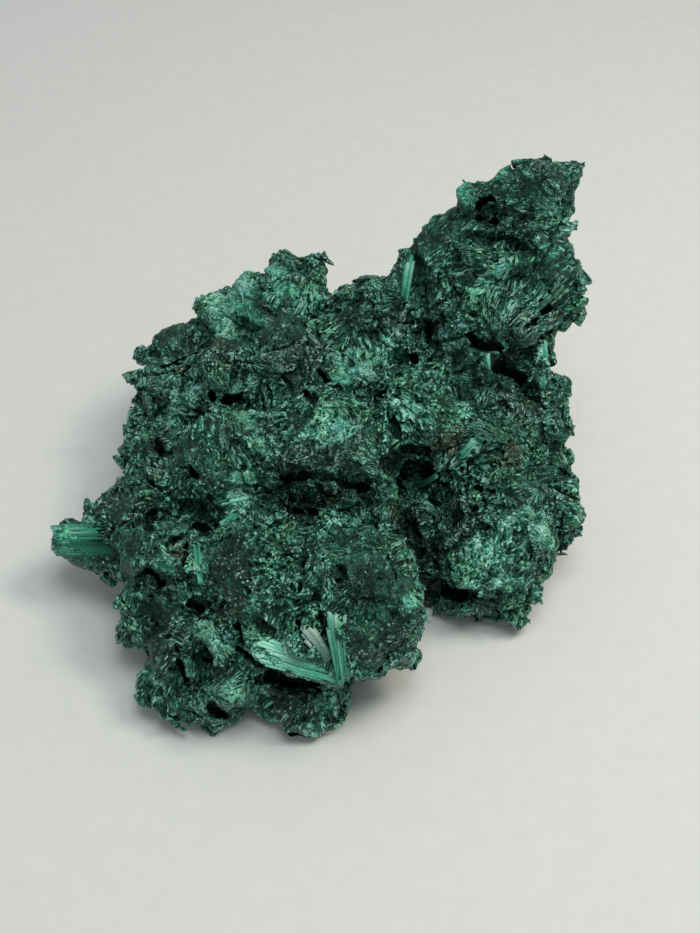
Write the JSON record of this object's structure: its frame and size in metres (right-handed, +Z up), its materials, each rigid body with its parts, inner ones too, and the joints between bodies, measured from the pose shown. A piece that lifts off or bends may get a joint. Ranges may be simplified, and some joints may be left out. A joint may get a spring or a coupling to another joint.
{
  "type": "malachite specimen",
  "caption": "Fibrous malachite specimen: a vuggy, knobby mass of radiating crystal fans with a tall flat spire, a rounded side lobe and a small finger of fibres.",
  "frame": {"origin": "middle of the bounding box on the rest plane, so z = 0 is the surface that the specimen stands on", "axes": "+Z up, +X to the right and +Y to the back as the specimen is seen from its front, with the spire at the back right and the finger of fibres at the left"},
  "size_m": [0.0974, 0.0918, 0.0667],
  "materials": {
    "malachite": "dull velvety dark green crust with silky lighter green fibres"
  },
  "bodies": {
    "root": {"malachite": "malachite"}
  },
  "joints": []
}
